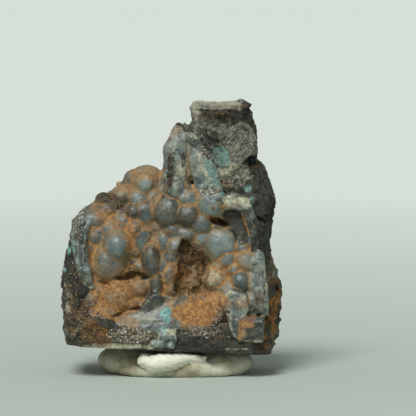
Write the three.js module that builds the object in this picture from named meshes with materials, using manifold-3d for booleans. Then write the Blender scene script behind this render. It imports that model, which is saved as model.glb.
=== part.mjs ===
// A hand specimen of blue-grey chalcedony and shattuckite on dark matrix, on its wad of putty.
// Units are millimetres. +Z is up, and the open side of the cavity faces -Y.
// The origin is on the flat underside of the putty, below the middle of the specimen.
import * as THREE from "three";
import { TessellateModifier } from "three/addons/modifiers/TessellateModifier.js";
import { mergeVertices } from "three/addons/utils/BufferGeometryUtils.js";
import Module from "manifold-3d";

const wasm = await Module();
wasm.setup();

// Driving dimensions
const gap = 0.3; // clearance kept between two pieces that touch
const facet = 8; // longest edge of a facet on the broken rock
const sawnHeight = 6.7; // height of the sawn base at x = 0
const sawnSlope = -0.047; // the base drops to the right by this much per millimetre

// Deep pocket in the middle of the cavity, where the crust leaves bare rock
const pocket = { at: [5.4, -7.5, 25.8], radii: [4.5, 6.6, 6.2] };

// Blocks of the matrix. An outline is seen from the front, as x, z points.
// Breaks trim a block: a point on each, and the direction that it faces.
const blocks = {
  body: {
    front: -6.6,
    back: 14,
    chamfer: 2.6,
    outline: [
      [-26.4, 5], [24, 5], [26.2, 9], [26.8, 17], [26.6, 24], [24.4, 28], [24, 34], [25, 38],
      [24.8, 44], [10, 48], [0, 49.5], [-5, 49], [-10, 47.5], [-14, 45.4], [-20.5, 42.4],
      [-24.8, 38], [-26.2, 31.5], [-27.6, 25], [-27.4, 14],
    ],
    breaks: [
      { at: [-22, 10, 25], facing: [-0.74, 0.66, 0.12] },
      { at: [22.5, 10, 25], facing: [0.6, 0.8, 0.06] },
      { at: [-8, 7, 46], facing: [-0.24, 0.62, 0.74] },
      { at: [8, 12.6, 12], facing: [0.05, 0.94, -0.33] },
      { at: [0, 13, 32], facing: [0.12, 0.98, 0.14] },
    ],
  },
  ledge: {
    front: -16.6,
    back: -3,
    chamfer: 1.6,
    outline: [
      [-26, 5], [24, 5], [25.2, 8], [24, 12], [14, 13.5], [2, 12], [-9, 12.5], [-17, 15],
      [-20, 20], [-26.8, 21], [-27, 12],
    ],
    breaks: [
      { at: [-25.6, -13, 14], facing: [-0.7, -0.71, 0] },
      { at: [23.4, -14, 10], facing: [0.62, -0.78, 0] },
      { at: [4, -14, 16], facing: [0, -0.3, 0.95] },
    ],
  },
  leftCheek: {
    front: -12.8,
    back: -3,
    chamfer: 1.6,
    outline: [
      [-26.9, 8], [-19, 8], [-19.5, 22], [-20.5, 33], [-22, 38.4], [-25.2, 36.4], [-26.1, 31],
      [-27.6, 25.5],
    ],
    breaks: [{ at: [-26, -8.6, 26], facing: [-0.86, -0.5, 0.05] }],
  },
  rightCheek: {
    front: -12.8,
    back: -2,
    chamfer: 1.5,
    outline: [
      [17, 8], [24.4, 7], [26.2, 12], [26.2, 22], [24.4, 30], [24, 37.5], [19.8, 38.5], [19, 30],
      [17.6, 20],
    ],
    breaks: [{ at: [24.4, -8.6, 18], facing: [0.8, -0.6, -0.02] }],
  },
  shoulder: {
    front: -7.6,
    back: 11,
    chamfer: 2.2,
    outline: [
      [-2.6, 40], [24.6, 37], [25.2, 42], [24.9, 45.8], [23.5, 48.2], [22.6, 52], [20, 54.5],
      [4, 56], [-1.2, 57.5], [-2, 50],
    ],
    breaks: [
      { at: [10, 7.6, 49], facing: [0.1, 0.86, 0.5] },
      { at: [0, 3, 54], facing: [-0.6, 0.7, 0.4] },
    ],
  },
  hornHead: {
    front: -8.6,
    back: 8,
    chamfer: 1.5,
    outline: [
      [2.4, 52], [13, 50.6], [18.8, 51.8], [21.6, 54.6], [21.2, 59.2], [20.8, 62.2], [17, 62.9],
      [8, 62.4], [2.6, 61.8], [1.2, 57],
    ],
    breaks: [
      { at: [4, 3, 57], facing: [-0.7, 0.7, 0.1] },
      { at: [19, 4.6, 57], facing: [0.6, 0.78, 0.12] },
      { at: [6, -8, 56], facing: [-0.42, -0.9, 0.12] },
    ],
  },
  hornCap: {
    front: -7.3,
    back: 6,
    chamfer: 1,
    outline: [
      [4.3, 60], [20.6, 60], [19.6, 65], [18.6, 68], [16.8, 67.9], [12, 67.2], [6, 67.6],
      [4.4, 66],
    ],
    breaks: [
      { at: [13, 4.4, 65], facing: [0.1, 0.9, 0.4] },
      { at: [18.6, -6, 66], facing: [0.72, -0.68, 0.1] },
    ],
  },
  tongueRoot: {
    front: -6.8,
    back: 4,
    chamfer: 1.2,
    outline: [
      [-1.6, 47], [6, 47], [6.5, 57], [4, 61.8], [0.4, 61.6], [-0.8, 59], [-1.8, 55],
    ],
    breaks: [{ at: [-1, 1, 55], facing: [-0.6, 0.8, 0.1] }],
  },
};

// Lumps of the crust: centre, radii, and if need be how square and how tilted in the front view
const round = 2;
const squarish = 3.4;
const lumps = [
  // chalcedony behind the lumps, which lines the cavity of the rock
  { at: [-3.4, -4.6, 29], radii: [19.6, 3.6, 17.4], square: squarish, tilt: -3 },
  { at: [17, -7, 20], radii: [5.6, 4, 12.4], square: squarish },
  // dome at the upper left
  { at: [-6.4, -3, 46.6], radii: [4.8, 5, 5.1] },
  { at: [-10.1, -2.8, 46.4], radii: [3, 3.2, 3.2] },
  { at: [-3.4, -4, 47], radii: [2.9, 3.4, 3] },
  { at: [-8.4, -6.8, 43.6], radii: [2.5, 2.6, 2.4] },
  { at: [-12.6, -5.4, 43.6], radii: [2.7, 3, 2.5] },
  // big spheres over the mouth of the pocket
  { at: [-1.3, -8.4, 41.4], radii: [3.9, 4.4, 4.3] },
  { at: [3.9, -8.6, 42.8], radii: [3.3, 3.6, 3.4] },
  { at: [9.6, -9.2, 42.6], radii: [3.6, 4, 3.7] },
  { at: [3.7, -9.8, 39.2], radii: [2.8, 3.2, 2.8] },
  { at: [7.4, -9, 38.2], radii: [2.6, 3.2, 2.6] },
  { at: [3.4, -7.6, 35], radii: [4.4, 3, 2.8] },
  // middle and left rows
  { at: [-6.9, -7.6, 39.8], radii: [3.1, 3, 3.4] },
  { at: [-12.2, -7.8, 38.2], radii: [3.1, 3, 3.1] },
  { at: [-16, -6.8, 41], radii: [3, 3.2, 2.4] },
  { at: [-19.2, -8.2, 38.8], radii: [3.1, 3.2, 2.6] },
  { at: [-19, -8.4, 34.6], radii: [3.2, 3.2, 3] },
  { at: [-13.6, -9.8, 32.6], radii: [4.1, 4.4, 4.5] },
  { at: [-16.3, -9.2, 27.8], radii: [4.4, 4.6, 5.4], tilt: 8 },
  { at: [-7.6, -8, 33.6], radii: [3.1, 3.4, 3.9] },
  { at: [-2.2, -8, 33.4], radii: [3, 3.2, 3.2] },
  { at: [-4.3, -8.6, 27.8], radii: [2.9, 3.8, 4.8], tilt: -6 },
  { at: [-9.8, -7.4, 27.4], radii: [3.6, 3.2, 3.6] },
  { at: [-3.6, -8.4, 22.2], radii: [2.4, 3.4, 3.4] },
  // rusty lumps in the lower left of the bowl
  { at: [-12.6, -9, 19.5], radii: [4.6, 4.9, 4.5] },
  { at: [-16.8, -9.8, 20], radii: [3.2, 3.8, 3.2] },
  { at: [-7.4, -8, 20.8], radii: [3.4, 3.6, 3] },
  { at: [-15.8, -11, 15.8], radii: [3.6, 3.6, 3.2] },
  { at: [-5.2, -11, 18], radii: [4.4, 2.2, 2.2], square: squarish, tilt: -36 },
  // pale cluster right of the pocket
  { at: [11.6, -7.8, 33.6], radii: [4.9, 4.4, 4.7] },
  { at: [13.6, -8.8, 28.4], radii: [3.2, 3.6, 3.4] },
  { at: [11, -9.4, 23.5], radii: [3.4, 4, 3.2] },
  { at: [16.8, -11, 24], radii: [3.1, 3.8, 3.2] },
  { at: [17.6, -10.4, 29], radii: [3, 3.6, 3] },
  // skin of the ledge
  { at: [6.4, -11.4, 14.4], radii: [7, 5.4, 5.2] },
  { at: [-18.6, -12, 13.4], radii: [4.8, 3.6, 3.4], tilt: -20 },
];

// Broken plates of the crust, which stand in front of the rock, given like the blocks
const plates = {
  leftRind: {
    front: -14.4,
    back: -6,
    chamfer: 0.9,
    outline: [
      [-24.8, 38.8], [-25.2, 33.6], [-24.3, 29.3], [-23.3, 24.5], [-21.9, 21.6], [-19.1, 21.9],
      [-20.4, 27.3], [-21.2, 33.6], [-20.2, 37.9], [-22.2, 40.4],
    ],
  },
  leftTongue: {
    front: -10.4,
    back: -4,
    chamfer: 1,
    outline: [
      [-2.3, 56.8], [-2.4, 49.1], [-1, 45.6], [2.2, 43.8], [4.5, 46.8], [4, 52], [3.4, 56],
      [3.1, 59.8], [0.4, 61.4], [-1, 58.7],
    ],
  },
  rightTongue: {
    front: -11.2,
    back: -5,
    chamfer: 1.1,
    outline: [
      [3.6, 59.4], [3.6, 55.3], [4.7, 49.6], [6.8, 44.9], [9.9, 43.8], [12.7, 45.4], [11.2, 50.6],
      [9.3, 54.6], [6.4, 58.4],
    ],
  },
  rightEdge: {
    front: -10.8,
    back: -5,
    chamfer: 0.7,
    outline: [
      [10.8, 44.4], [14.7, 45.6], [19.4, 44], [20.9, 38], [21.6, 32], [19.6, 31.8], [17.6, 36.8],
      [16.4, 40.4], [11.4, 41.2],
    ],
  },
  rightBlade: {
    front: -15,
    back: -6,
    chamfer: 0.9,
    outline: [
      [20.4, 32.2], [22.5, 30.9], [23.2, 25.5], [23.8, 18.8], [23.7, 14.8], [18.9, 15], [18.5, 20.7],
      [19, 26],
    ],
  },
  lowerBlade: {
    front: -17.4,
    back: -8,
    chamfer: 0.9,
    outline: [[17, 15.2], [22.6, 14.8], [22.5, 8.6], [16.2, 9]],
  },
  whiteBlade: {
    front: -17.2,
    back: -8,
    chamfer: 0.8,
    outline: [
      [11.2, 19.6], [13.6, 15.4], [14.4, 10.8], [15.8, 9], [16.9, 14.2], [19, 17], [18.2, 20.6],
      [14.7, 22],
    ],
  },
  ledgeSkin: {
    front: -17.6,
    back: -9,
    chamfer: 1.2,
    outline: [
      [-15, 12.8], [-14.2, 14.9], [-10.2, 16.2], [-4.9, 18], [-0.2, 19.6], [1.4, 17.1], [1.2, 10],
      [0.8, 7.6], [-4.9, 7.6], [-6.4, 9.4], [-10.2, 11],
    ],
  },
};

// Lobes of the putty, flattened under the specimen
const lobes = [
  { at: [-9.6, -3.4, 3.4], radii: [9, 8.4, 4.6] },
  { at: [0.5, -9.4, 2.4], radii: [10.4, 4.2, 3.8], tilt: 7 },
  { at: [11.6, -4.6, 2.6], radii: [8.8, 8, 4.2] },
  { at: [1.5, 1.8, 2.6], radii: [13.4, 9.6, 4.6] },
];

// A geometry with one vertex at each corner, however many faces meet there.
function weldedShape(geometry) {
  const bare = geometry.index ? geometry.toNonIndexed() : geometry.clone();
  for (const name of ["normal", "uv"]) bare.deleteAttribute(name);
  return mergeVertices(bare, 1e-4);
}

// A closed geometry as a solid that can be joined and cut.
function solidOf(geometry) {
  const merged = weldedShape(geometry);
  const shape = new wasm.Mesh({
    numProp: 3,
    vertProperties: new Float32Array(merged.attributes.position.array),
    triVerts: new Uint32Array(merged.index.array),
  });
  return new wasm.Manifold(shape);
}

// A solid as a geometry with flat shading.
function geometryOf(solid) {
  const made = solid.getMesh();
  const geometry = new THREE.BufferGeometry();
  geometry.setAttribute("position", new THREE.BufferAttribute(made.vertProperties, made.numProp));
  geometry.setIndex(new THREE.BufferAttribute(made.triVerts, 1));
  const flat = geometry.toNonIndexed();
  flat.computeVertexNormals();
  return flat;
}

// Moves a point by three slow waves, so that no broken face is quite flat.
const waveHeight = 0.42;
function weather(point) {
  const { x, y, z } = point;
  point.x += waveHeight * (Math.sin(0.61 * z + 0.37 * y) + Math.sin(0.29 * z - 0.71 * y + 1.3));
  point.y += waveHeight * (Math.sin(0.53 * x + 0.43 * z + 2.1) + Math.sin(0.83 * x - 0.35 * z));
  point.z += waveHeight * (Math.sin(0.57 * x + 0.31 * y + 0.7) + Math.sin(0.77 * y - 0.41 * x));
  return point;
}

// A chamfered prism with the outline of a block, its faces broken into facets, weathered and trimmed.
// A grown one stands out by a clearance all round, to cut what lies on the rock.
function rockBlock({ front, back, chamfer, outline, breaks = [] }, grow = 0) {
  const shape = new THREE.Shape(outline.map(([x, z]) => new THREE.Vector2(x, z)));
  const prism = new THREE.ExtrudeGeometry(shape, {
    depth: back - front - 2 * chamfer,
    bevelEnabled: true,
    bevelThickness: chamfer,
    bevelSize: chamfer,
    bevelOffset: -chamfer,
    bevelSegments: 1,
  });
  prism.rotateX(Math.PI / 2);
  prism.translate(0, back - chamfer, 0);
  const facets = weldedShape(new TessellateModifier(facet, 20).modify(prism));
  const { position } = facets.attributes;
  const point = new THREE.Vector3();
  for (let i = 0; i < position.count; i++) {
    weather(point.fromBufferAttribute(position, i));
    position.setXYZ(i, point.x, point.y, point.z);
  }
  facets.computeVertexNormals();
  const { normal } = facets.attributes;
  const out = new THREE.Vector3();
  for (let i = 0; i < position.count; i++) {
    point.fromBufferAttribute(position, i);
    point.addScaledVector(out.fromBufferAttribute(normal, i), grow);
    position.setXYZ(i, point.x, point.y, point.z);
  }
  return without(solidOf(facets), breaks.map((cut) => beyond(cut, grow)));
}

// A lump is a sphere whose radius follows the power norm of its direction, then scaled to its radii.
function lumpSolid({ at, radii, square = round, tilt = 0 }) {
  const widest = Math.max(...radii);
  const detail = widest > 4.5 ? 2 : 1;
  const ball = new THREE.IcosahedronGeometry(1, detail);
  const position = ball.attributes.position;
  const way = new THREE.Vector3();
  for (let i = 0; i < position.count; i++) {
    way.fromBufferAttribute(position, i).normalize();
    const sum = ["x", "y", "z"].reduce((s, k) => s + Math.abs(way[k]) ** square, 0);
    way.multiplyScalar(sum ** (-1 / square));
    position.setXYZ(i, way.x, way.y, way.z);
  }
  ball.scale(...radii);
  ball.rotateY(THREE.MathUtils.degToRad(tilt));
  ball.translate(...at);
  return solidOf(ball);
}

// A large box whose one face passes through a point and faces a direction: what lies beyond is cut away.
const cutSize = 200;
function beyond({ at, facing }, away = 0) {
  const box = new THREE.BoxGeometry(cutSize, cutSize, cutSize);
  box.translate(0, 0, cutSize / 2 + away);
  const direction = new THREE.Vector3(...facing).normalize();
  box.applyQuaternion(new THREE.Quaternion().setFromUnitVectors(new THREE.Vector3(0, 0, 1), direction));
  box.translate(...at);
  return solidOf(box);
}

const joined = (solids) => solids.reduce((sum, next) => sum.add(next));
const without = (solid, others) => others.reduce((rest, next) => rest.subtract(next), solid);

// The sawn base, as a plane that faces down
const sawnBase = { at: [0, 0, sawnHeight], facing: [sawnSlope, 0, -1] };

// The largest of the bodies in a solid
function largest(solid) {
  return solid.decompose().sort((a, b) => b.volume() - a.volume())[0];
}

const allOf = (table, grow = 0) => joined(Object.values(table).map((row) => rockBlock(row, grow)));

function makeMatrix() {
  return largest(without(allOf(blocks), [lumpSolid(pocket), beyond(sawnBase)]));
}

function makeCrust() {
  const grown = joined([...lumps.map(lumpSolid), allOf(plates)]);
  const room = [allOf(blocks, gap), allOf(blocks, gap / 2), lumpSolid(pocket), beyond(sawnBase, -gap)];
  return largest(without(grown, room));
}

function makePutty() {
  const wad = joined(lobes.map(lumpSolid));
  const above = beyond({ at: [0, 0, sawnHeight - gap], facing: [-sawnSlope, 0, 1] });
  const below = beyond({ at: [0, 0, 0], facing: [0, 0, -1] });
  return without(wad, [above, below]);
}

const finishes = {
  matrix: { color: 0x4a463f, roughness: 0.85, metalness: 0 },
  chalcedony_crust: { color: 0x7d8f93, roughness: 0.35, metalness: 0 },
  mounting_putty: { color: 0xd9d8c8, roughness: 0.7, metalness: 0 },
};

const makers = {
  matrix: makeMatrix,
  chalcedony_crust: makeCrust,
  mounting_putty: makePutty,
};

const specimen = new THREE.Group();
for (const [name, make] of Object.entries(makers)) {
  const mesh = new THREE.Mesh(geometryOf(make()), new THREE.MeshStandardMaterial(finishes[name]));
  mesh.name = name;
  specimen.add(mesh);
}

export default specimen;
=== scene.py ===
from math import cos, radians, sin

import bpy
import numpy as np
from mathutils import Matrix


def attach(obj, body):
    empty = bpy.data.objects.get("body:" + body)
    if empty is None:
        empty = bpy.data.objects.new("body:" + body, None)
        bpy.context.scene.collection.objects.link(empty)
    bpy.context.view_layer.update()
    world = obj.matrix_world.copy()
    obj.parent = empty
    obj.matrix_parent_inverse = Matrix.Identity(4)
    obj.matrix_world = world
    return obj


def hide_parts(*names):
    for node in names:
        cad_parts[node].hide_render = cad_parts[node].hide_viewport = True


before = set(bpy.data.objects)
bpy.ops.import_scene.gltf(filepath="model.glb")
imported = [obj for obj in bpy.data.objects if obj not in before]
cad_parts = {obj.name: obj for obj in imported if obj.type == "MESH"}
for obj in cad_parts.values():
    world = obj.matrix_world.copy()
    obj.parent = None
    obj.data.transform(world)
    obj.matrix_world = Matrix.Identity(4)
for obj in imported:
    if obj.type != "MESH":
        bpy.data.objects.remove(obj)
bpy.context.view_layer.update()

mm = 0.001  # shapes are worked out in millimetres, and stored in metres
chance = np.random.default_rng(11)

# Camera, lights and floor

view = {"target": (8.75, 0, 41), "distance": 900, "elevation": 4, "frameWidth": 104}
studio = {
    "key": {"from": (-0.22, -0.62, 0.78), "strength": 2.75, "width": 26},  # a wide softbox, as a broad sun
    "air": "#d8e0da", "airStrength": 0.42,
    # the floor's colour in its painted shade near the object, and far from it
    "floorShadedNear": "#b4beb5", "floorFar": "#dee6df", "floorReach": 9000,
    "floorShadeFade": (50, 680),  # mm from the origin at which the floor's painted shade starts and stops fading out, so the floor gets lighter
}


def linear(code):  # sRGB hex to the linear colour that shaders take
    parts = np.array([int(code[i:i + 2], 16) for i in (1, 3, 5)]) / 255
    parts = np.where(parts <= 0.04045, parts / 12.92, ((parts + 0.055) / 1.055) ** 2.4)
    return (*parts.tolist(), 1.0)


def addNode(tree, kind, links=None, **settings):  # a node with its settings, values and links
    node = tree.nodes.new("ShaderNode" + kind)
    for name, value in settings.items():
        setattr(node, name, value)
    for socket, source in (links or {}).items():
        if isinstance(source, bpy.types.NodeSocket):
            tree.links.new(source, node.inputs[socket])
        else:
            node.inputs[socket].default_value = source
    return node


def addObject(name, data):
    made = bpy.data.objects.new(name, data)
    bpy.context.collection.objects.link(made)
    return made


def aimed(obj, at, toward):  # placed in mm, and turned to look at a place
    place = np.array(at, float)
    away = np.array(toward, float) - place
    obj.location = place * mm
    obj.rotation_euler = (np.arctan2(np.hypot(*away[:2]), -away[2]), 0, np.arctan2(-away[0], away[1]))


rise = radians(view["elevation"])
camera = addObject("photoCamera", bpy.data.cameras.new("photoCamera"))
goal = np.array(view["target"], float)
aimed(camera, goal + view["distance"] * np.array((0, -cos(rise), sin(rise))), goal)
camera.data.lens = camera.data.sensor_width * view["distance"] / view["frameWidth"]
camera.data.clip_start = 0.01
bpy.context.scene.camera = camera

key = bpy.data.lights.new("keySoftbox", "SUN")
key.energy = studio["key"]["strength"]
key.angle = radians(studio["key"]["width"])
aimed(addObject("keySoftbox", key), 500 * np.array(studio["key"]["from"]), (0, 0, 0))

air = bpy.data.worlds.new("studioAir")
air.use_nodes = True
air.node_tree.nodes["Background"].inputs["Color"].default_value = linear(studio["air"])
air.node_tree.nodes["Background"].inputs["Strength"].default_value = studio["airStrength"]
bpy.context.scene.world = air
bpy.context.scene.view_settings.view_transform = "Standard"


def paleCard():  # matt card: pale grey, with painted shade that makes it a little darker near the object
    material = bpy.data.materials.new("paleCard")
    material.use_nodes = True
    tree = material.node_tree
    shader = tree.nodes["Principled BSDF"]
    shader.inputs["Roughness"].default_value = 0.8
    coords = addNode(tree, "TexCoord").outputs["Object"]
    away = addNode(tree, "VectorMath", {0: coords}, operation="LENGTH").outputs["Value"]
    near, far = studio["floorShadeFade"]
    span = {"Value": away, "From Min": near * mm, "From Max": far * mm}
    shadeFade = addNode(tree, "MapRange", span).outputs["Result"]
    tints = {"Fac": shadeFade, "Color1": linear(studio["floorShadedNear"]), "Color2": linear(studio["floorFar"])}
    tree.links.new(addNode(tree, "MixRGB", tints).outputs["Color"], shader.inputs["Base Color"])
    return material


reach = studio["floorReach"] * mm
card = bpy.data.meshes.new("studioFloor")
edges = [(-reach, -reach, 0), (reach, -reach, 0), (reach, reach, 0), (-reach, reach, 0)]
card.from_pydata(edges, [], [(0, 1, 2, 3)])
card.materials.append(paleCard())
addObject("studioFloor", card)
print("stage set")

# Shapes as arrays

latticeCells = 32  # the noise repeats after this many cells
lattice = np.random.default_rng(3).random((latticeCells, latticeCells, latticeCells, 4))


def softNoise(points, size, layer=0):
    # random values on a lattice of the given size, blended by a smooth cubic: about -1 to 1
    at = points / size + 100 + 7.3 * layer
    cell = np.floor(at).astype(int)
    t = at - cell
    t = t * t * (3 - 2 * t)
    total = np.zeros(len(points))
    for corner in np.ndindex(2, 2, 2):
        weight = np.prod(np.where(corner, t, 1 - t), axis=1)
        i, j, k = ((cell + corner) % latticeCells).T
        total += weight * lattice[i, j, k, layer % 4]
    return 2.4 * total - 1.2


def chipNoise(points, size, layer=0):
    # broken facets: the height of a tilted plane through the nearest of a lattice of scattered seeds
    at = points / size + 100 + 5.7 * layer
    cell = np.floor(at).astype(int)
    nearest = np.full(len(points), 9.0)
    height = np.zeros(len(points))
    for step in np.ndindex(3, 3, 3):
        seedCell = cell + step - np.array((1, 1, 1))
        i, j, k = (seedCell % latticeCells).T
        away = at - seedCell - lattice[i, j, k, :3]
        far = (away ** 2).sum(1)
        plane = (away * (lattice[j, k, i, :3] - 0.5)).sum(1) + 0.5 * (lattice[i, j, k, 3] - 0.5)
        height = np.where(far < nearest, plane, height)
        nearest = np.minimum(far, nearest)
    return 2 * height


def ramp(values, low, high):  # 0 below low, 1 above high, smooth between
    t = np.clip((values - low) / (high - low), 0, 1)
    return t * t * (3 - 2 * t)


def bell(values, wide):  # 1 at 0, and falls to 1/e at wide
    return np.exp(-(values / wide) ** 2)


def clouded(points, size, layer, low, high):  # the patches where soft noise is high
    return ramp(softNoise(points, size, layer), low, high)


def gridFaces(rows, columns):  # quads between rings of points, closed round each ring
    row = np.arange(rows - 1)[:, None] * columns
    this = np.arange(columns)[None]
    after = (this + 1) % columns
    corners = (row + this, row + columns + this, row + columns + after, row + after)
    return np.stack(corners, -1).reshape(-1, 4)


def sphereGrid(rows, columns):  # directions from pole to pole
    turns = np.arange(columns) * 2 * np.pi / columns
    tall, around = np.meshgrid(np.linspace(0, np.pi, rows), turns, indexing="ij")
    parts = (np.sin(tall) * np.cos(around), np.sin(tall) * np.sin(around), np.cos(tall))
    return np.stack(parts, -1).reshape(-1, 3)


def turned(points, degrees):  # in the front view, tops of positive turns lean to the right
    angle = np.radians(degrees)
    x, y, z = np.moveaxis(points, -1, 0)
    return np.stack((x * np.cos(angle) + z * np.sin(angle), y, z * np.cos(angle) - x * np.sin(angle)), -1)


def lumpShells(table, rows=20, columns=28):
    # each lump is a sphere whose radius follows the power norm of its direction, stretched, turned and moved
    way = sphereGrid(rows, columns)
    power = table[:, 6, None]
    size = (np.abs(way)[None] ** power[..., None]).sum(-1) ** (-1 / power)
    local = way[None] * size[..., None] * table[:, None, 3:6]
    points = turned(local, table[:, 7, None]) + table[:, None, :3]
    faces = gridFaces(rows, columns)
    every = faces[None] + (np.arange(len(table)) * len(way))[:, None, None]
    return points.reshape(-1, 3), every.reshape(-1, 4)


def lumpDepths(points, table):
    # how far each point is outside each lump: its power norm less one, times the lump's mean radius
    depths = np.empty((len(points), len(table)), np.float32)
    for i, row in enumerate(table):
        local = turned(points - row[:3], -row[7]) / row[3:6]
        depths[:, i] = ((np.abs(local) ** row[6]).sum(1) ** (1 / row[6]) - 1) * row[3:6].mean()
    return depths


def meshOf(name, points, faces):
    mesh = bpy.data.meshes.new(name)
    mesh.from_pydata(points.tolist(), [], faces.tolist())
    mesh.update()
    return mesh


def arraysOf(mesh):  # its points and normals
    read = np.empty((2, len(mesh.vertices) * 3))
    for values, name in zip(read, ("co", "normal")):
        mesh.vertices.foreach_get(name, values)
    return read.reshape(2, -1, 3)


def addRemesh(obj, voxel):  # joins overlapping closed shells in one skin on a grid of cubes
    remesh = obj.modifiers.new("skin", "REMESH")
    remesh.mode = "VOXEL"
    remesh.voxel_size = voxel


def skinned(name, points, faces, voxel, smoothing, hollow=None):
    # closed shells become one skin, less the hollow, which is cut out of a coarser one, and are smoothed
    coarse = 1.5 * voxel
    work = addObject(name, meshOf(name, points, faces))
    if hollow is not None:
        addRemesh(work, coarse)
        cutter = addObject(name + "Hollow", meshOf(name + "Hollow", *lumpShells(hollow)))
        addRemesh(cutter, coarse)
        cut = work.modifiers.new("cut", "BOOLEAN")
        cut.operation = "DIFFERENCE"
        cut.solver = "FAST"
        cut.object = cutter
    addRemesh(work, voxel)
    even = work.modifiers.new("even", "SMOOTH")
    even.iterations = smoothing
    even.factor = 0.5
    graph = bpy.context.evaluated_depsgraph_get()
    mesh = bpy.data.meshes.new_from_object(work.evaluated_get(graph))
    bpy.data.objects.remove(work)
    if hollow is not None:
        bpy.data.objects.remove(cutter)
    mesh.name = name
    return mesh


def finished(name, mesh, points, marks, material, replaced=(), smooth=True):
    # the mesh takes its final points and painted marks, and rides on the body
    mesh.vertices.foreach_set("co", (points * mm).ravel())
    for mark, values in marks.items():
        mesh.attributes.new(mark, "FLOAT", "POINT").data.foreach_set("value", np.asarray(values, np.float32))
    if smooth:
        mesh.shade_smooth()
    mesh.update()
    mesh.materials.clear()
    mesh.materials.append(material)
    piece = addObject(name, mesh)
    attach(piece, "root")
    if replaced:
        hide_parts(*replaced)
    print(name, len(mesh.polygons), "faces")


def ellipseFar(points, x, z, wide, tall, tilt=0):  # in the front view: 1 on the ellipse, less inside
    local = turned(points - np.array((x, 0, z)), -tilt)
    return np.hypot(local[:, 0] / wide, local[:, 2] / tall)


def patchMask(points, patches, depth=2.0):
    # soft ellipses on the front view, 1 inside and 0 outside, with rims broken up by noise
    mask = np.zeros(len(points))
    rough = 0.22 * softNoise(points, 1.6, 1) + 0.16 * softNoise(points, 0.7, 2)
    for *ellipse, strength in patches:
        far = ellipseFar(points, *ellipse)
        mask = np.maximum(mask, strength * (1 - ramp(far + rough, 0.7, 1.25)))
    return mask * (1 - ramp(points[:, 1], depth - 2, depth))


# Materials

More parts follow.
